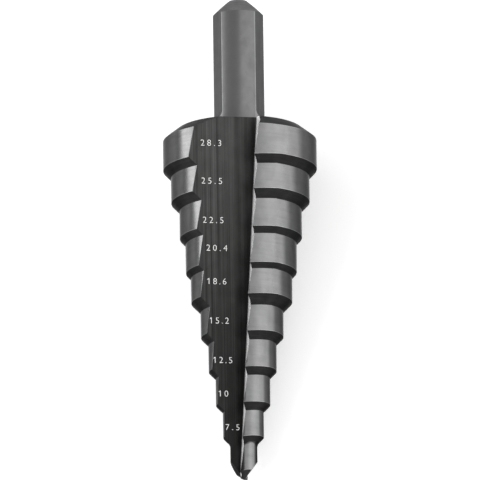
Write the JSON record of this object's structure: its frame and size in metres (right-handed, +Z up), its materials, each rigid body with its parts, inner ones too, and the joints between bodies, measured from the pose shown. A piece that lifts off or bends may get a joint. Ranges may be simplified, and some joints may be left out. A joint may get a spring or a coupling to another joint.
{
  "type": "step drill",
  "caption": "Step drill lying on its side: stepped cone of ground steel with a point, straight flutes with cutting edges, and a flatted round shank for a chuck.",
  "frame": {"origin": "middle of the footprint, on the bench under the drill", "axes": "+Y from the point towards the shank, along the length as it lies; +Z up; +X to the right when looking from the point towards the shank"},
  "size_m": [0.0282, 0.0902, 0.0265],
  "materials": {
    "tool_steel": "satin ground tool steel with fine grinding lines along the flutes"
  },
  "bodies": {
    "root": {"step_drill": "tool_steel"}
  },
  "joints": []
}
